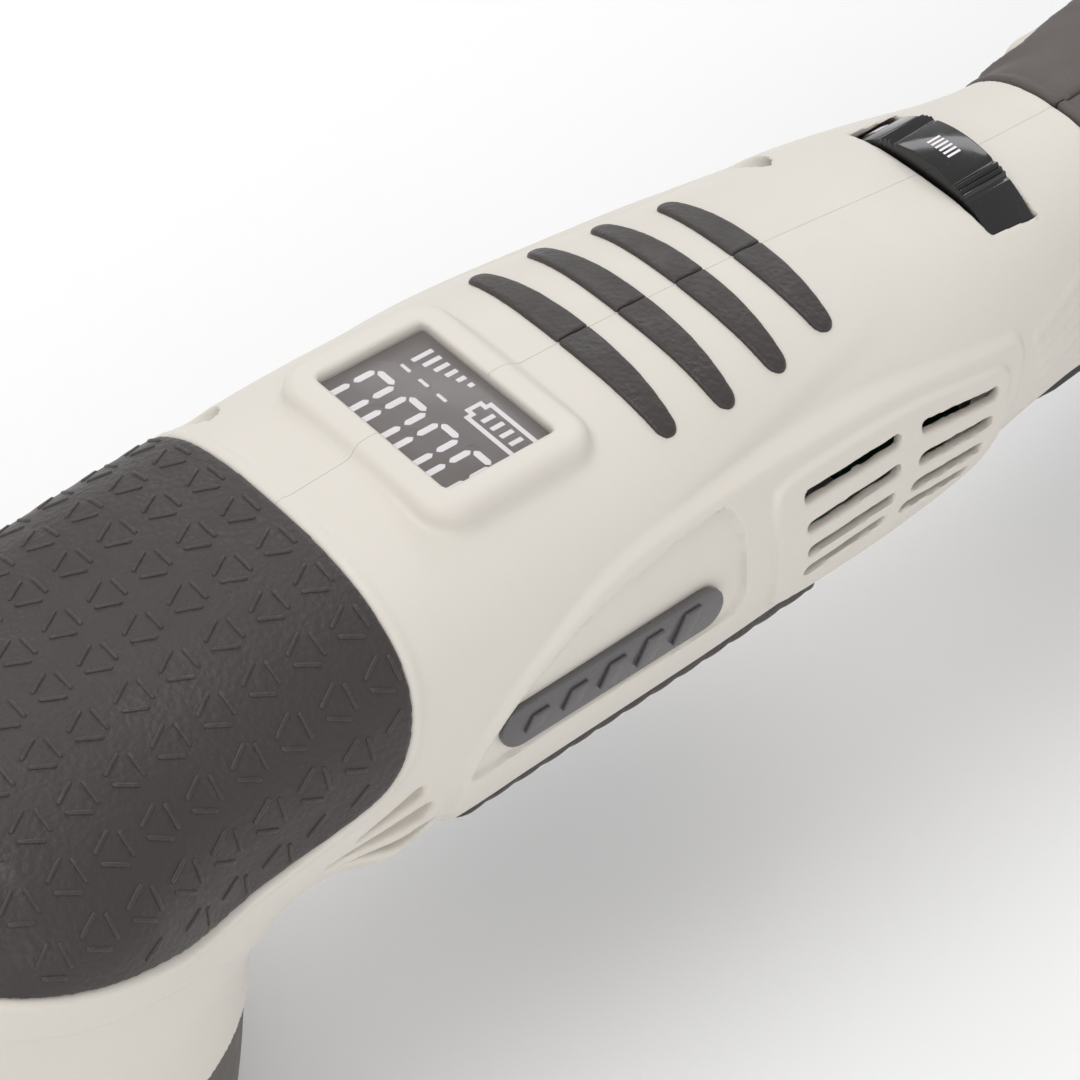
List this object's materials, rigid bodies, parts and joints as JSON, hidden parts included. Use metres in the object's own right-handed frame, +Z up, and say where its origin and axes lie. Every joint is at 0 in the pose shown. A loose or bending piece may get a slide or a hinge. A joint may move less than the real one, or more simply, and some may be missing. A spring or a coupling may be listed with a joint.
{
  "type": "dual action polisher",
  "caption": "Cordless dual action polisher: straight clamshell body, rubber-booted orbital head, display, speed dial, trigger grip and rear battery.",
  "frame": {"origin": "centre of the backing plate's pad face", "axes": "+X from the head to the battery, +Y to the user's right, +Z up from the pad face towards the display"},
  "size_m": [0.4249, 0.083, 0.104],
  "materials": {
    "cream_shell": "fine spark texture, satin",
    "soft_rubber": "moulded, fine leather grain",
    "black_plastic": "satin",
    "gloss_black": "polished",
    "clear_lens": "clear polished",
    "lcd": "dark LCD glass",
    "circuit_board": "solder mask",
    "badge_grey": "satin grey",
    "spring_steel": "drawn wire",
    "machined_steel": "turned",
    "cast_aluminium": "die cast",
    "bearing_steel": "ground",
    "electrical_steel": "stacked laminations",
    "copper_winding": "enamelled wire",
    "contact_brass": "stamped",
    "wire_sheath": "extruded PVC",
    "cell_wrap": "heat-shrink film",
    "component_black": "moulded epoxy",
    "latch_red": "satin",
    "urethane_cushion": "moulded urethane",
    "hook_fabric": "moulded hooks"
  },
  "bodies": {
    "tool": {"housing_left": "cream_shell", "housing_right": "cream_shell", "head_boot": "soft_rubber", "shroud": "soft_rubber", "display_lens": "clear_lens", "display_panel": "lcd", "display_board": "circuit_board", "grip_stripes_left": "soft_rubber", "grip_stripes_right": "soft_rubber", "badge_left": "badge_grey", "badge_right": "badge_grey", "belly_pad": "soft_rubber", "dial_potentiometer": "component_black", "handle_left": "soft_rubber", "handle_right": "soft_rubber", "trigger_pin": "machined_steel", "trigger_spring": "spring_steel", "trigger_switch": "component_black", "lock_spring": "spring_steel", "latch_spring": "spring_steel", "terminal_block": "component_black", "housing_screws": "machined_steel", "handle_screws": "machined_steel", "stator_core": "electrical_steel", "stator_windings": "copper_winding", "front_bearing": "bearing_steel", "rear_bearing": "bearing_steel", "motor_bracket": "cast_aluminium", "end_frame": "cast_aluminium", "motor_leads": "wire_sheath", "control_board": "circuit_board", "capacitors": "component_black", "gear_case": "cast_aluminium", "bearing_retainer": "machined_steel", "retainer_screws": "machined_steel", "spindle_bearing": "bearing_steel", "top_bearing": "bearing_steel"},
    "rotor": {"rotor": "electrical_steel", "motor_shaft": "machined_steel", "cooling_fan": "black_plastic", "drive_pinion": "machined_steel"},
    "crank": {"crank_spindle": "machined_steel", "counterweight": "machined_steel", "crown_gear": "machined_steel", "eccentric_bearings": "bearing_steel"},
    "plate": {"plate_shaft": "machined_steel", "plate_hub": "black_plastic", "plate_cushion": "urethane_cushion", "hook_face": "hook_fabric", "plate_stud": "machined_steel"},
    "trigger": {"trigger": "black_plastic"},
    "lock_button": {"lock_button": "cream_shell"},
    "speed_dial": {"speed_dial": "gloss_black"},
    "battery": {"battery_case": "black_plastic", "battery_cells": "cell_wrap", "battery_terminals": "contact_brass"},
    "battery_latch": {"battery_latch": "latch_red"}
  },
  "joints": [
    {"name": "crank_spin", "type": "hinge", "parent": "tool", "child": "crank", "pos_m": [0.006, 0, 0.03], "axis": [0, 0, 1], "continuous": true},
    {"name": "rotor_spin", "type": "hinge", "parent": "tool", "child": "rotor", "pos_m": [0.096, 0, 0.0691], "axis": [1, 0, 0], "continuous": true},
    {"name": "plate_spin", "type": "hinge", "parent": "crank", "child": "plate", "pos_m": [0, 0, 0.02], "axis": [0, 0, 1], "continuous": true},
    {"name": "trigger_pull", "type": "hinge", "parent": "tool", "child": "trigger", "pos_m": [0.22, 0, 0.0491], "axis": [0, -1, 0], "range_deg": [0, 6], "stiffness_Nm_per_rad": 0.8, "springref_deg": -14.32, "deforming": ["trigger_spring"]},
    {"name": "lock_press", "type": "slide", "parent": "tool", "child": "lock_button", "axis": [0, -1, 0], "range_m": [0, 0.0025], "stiffness_N_per_m": 400, "springref_m": -0.001, "deforming": ["lock_spring"]},
    {"name": "dial_turn", "type": "hinge", "parent": "tool", "child": "speed_dial", "pos_m": [0.2045, 0, 0.07237], "axis": [1, 0, 0], "range_deg": [0, 225]},
    {"name": "battery_slide", "type": "slide", "parent": "tool", "child": "battery", "axis": [1, 0, 0], "range_m": [0, 0.02]},
    {"name": "latch_press", "type": "slide", "parent": "battery", "child": "battery_latch", "axis": [0, 0, -1], "range_m": [0, 0.003], "stiffness_N_per_m": 500, "springref_m": -0.001, "deforming": ["latch_spring"]}
  ],
  "couplings": [
    {"joint": "rotor_spin", "follows": "crank_spin", "ratio": 3}
  ]
}
